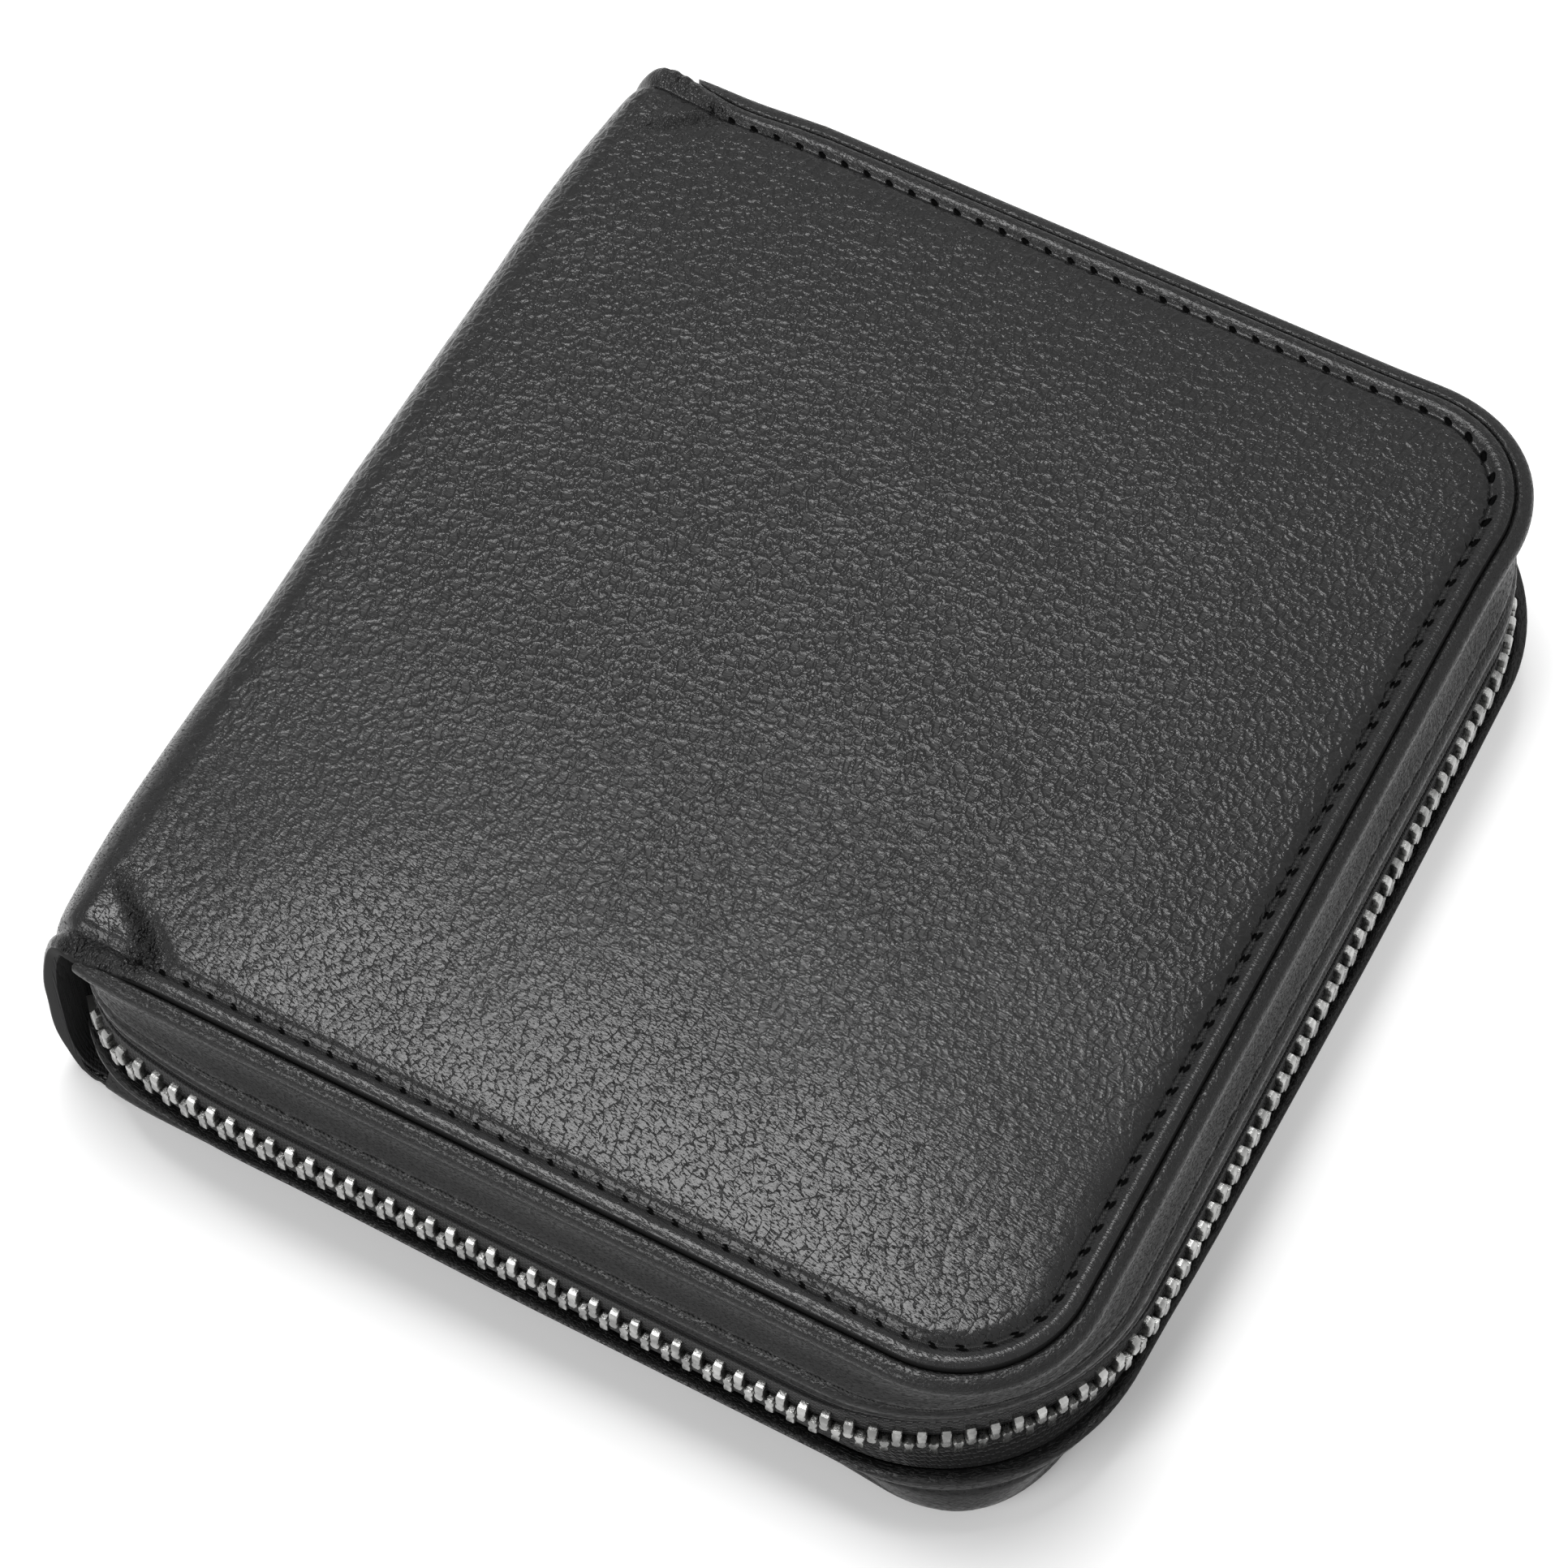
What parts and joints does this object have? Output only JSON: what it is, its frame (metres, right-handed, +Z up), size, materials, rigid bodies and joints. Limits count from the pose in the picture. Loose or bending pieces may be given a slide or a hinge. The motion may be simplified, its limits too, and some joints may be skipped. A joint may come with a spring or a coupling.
{
  "type": "zip-around coin purse",
  "caption": "Square leather purse closed round its free sides by a metal zip, with a soft spine, card pockets and a zipped coin pocket inside.",
  "frame": {"origin": "centre of the bottom cover's outer face, which the purse rests on", "axes": "+X across the purse from the spine to the free edge, +Y along the spine towards the closed end of the zip, +Z up through the thickness"},
  "size_m": [0.1066, 0.1246, 0.0275],
  "materials": {
    "leather": "pebbled full grain, semi-matte",
    "band_leather": "smooth, semi-matte",
    "pocket_leather": "fine grain, matte",
    "board": "pressed fibre board, matte",
    "lining": "plain woven, matte",
    "tape": "woven zip tape, matte",
    "zip_metal": "bright nickel",
    "slider_metal": "polished nickel"
  },
  "bodies": {
    "base": {"cover_bottom": "leather", "stiffener_bottom": "board", "lining_bottom": "lining", "band_bottom": "band_leather", "zip_tape_bottom": "tape", "zip_teeth_bottom": "zip_metal", "zip_stop_bottom": "zip_metal", "zip_end_stop": "zip_metal", "coin_pocket_gusset": "pocket_leather", "coin_pocket_front": "pocket_leather", "coin_pocket_strip": "pocket_leather", "coin_zip_tapes": "tape", "coin_zip_teeth": "zip_metal", "coin_zip_stops": "zip_metal"},
    "spine": {"cover_spine": "leather", "lining_spine": "lining"},
    "lid": {"cover_top": "leather", "stiffener_top": "board", "lining_top": "lining", "band_top": "band_leather", "zip_tape_top": "tape", "zip_teeth_top": "zip_metal", "zip_stop_top": "zip_metal", "slip_pocket": "pocket_leather", "card_pocket_1": "pocket_leather", "card_pocket_2": "pocket_leather", "card_pocket_3": "pocket_leather", "card_pocket_4": "pocket_leather"},
    "slider": {"slider_body": "slider_metal"},
    "pull": {"pull_tab": "slider_metal"},
    "coin_zip_slider": {"coin_slider": "slider_metal"},
    "coin_zip_pull": {"coin_pull": "slider_metal"}
  },
  "joints": [
    {"name": "lower_fold", "type": "hinge", "parent": "base", "child": "spine", "pos_m": [-0.0481, 0, 0], "axis": [0, -1, 0], "range_deg": [0, 90]},
    {"name": "upper_fold", "type": "hinge", "parent": "spine", "child": "lid", "pos_m": [-0.0481, 0, 0.0275], "axis": [0, -1, 0], "range_deg": [0, 90]},
    {"name": "slider_travel", "type": "slide", "parent": "base", "child": "slider", "axis": [1, 0, 0], "range_m": [0, 0.052], "deforming": ["zip_teeth_bottom", "zip_teeth_top"]},
    {"name": "pull_swing", "type": "hinge", "parent": "slider", "child": "pull", "pos_m": [-0.03, 0.06245, 0.01375], "axis": [0, 0, 1], "range_deg": [0, 170]},
    {"name": "coin_slider_travel", "type": "slide", "parent": "base", "child": "coin_zip_slider", "axis": [1, 0, 0], "range_m": [0, 0.066], "deforming": ["coin_zip_teeth"]},
    {"name": "coin_pull_swing", "type": "hinge", "parent": "coin_zip_slider", "child": "coin_zip_pull", "pos_m": [-0.033, 0.038, 0.01135], "axis": [0, -1, 0], "range_deg": [0, 170]}
  ],
  "couplings": [
    {"joint": "upper_fold", "follows": "lower_fold", "ratio": 1}
  ]
}
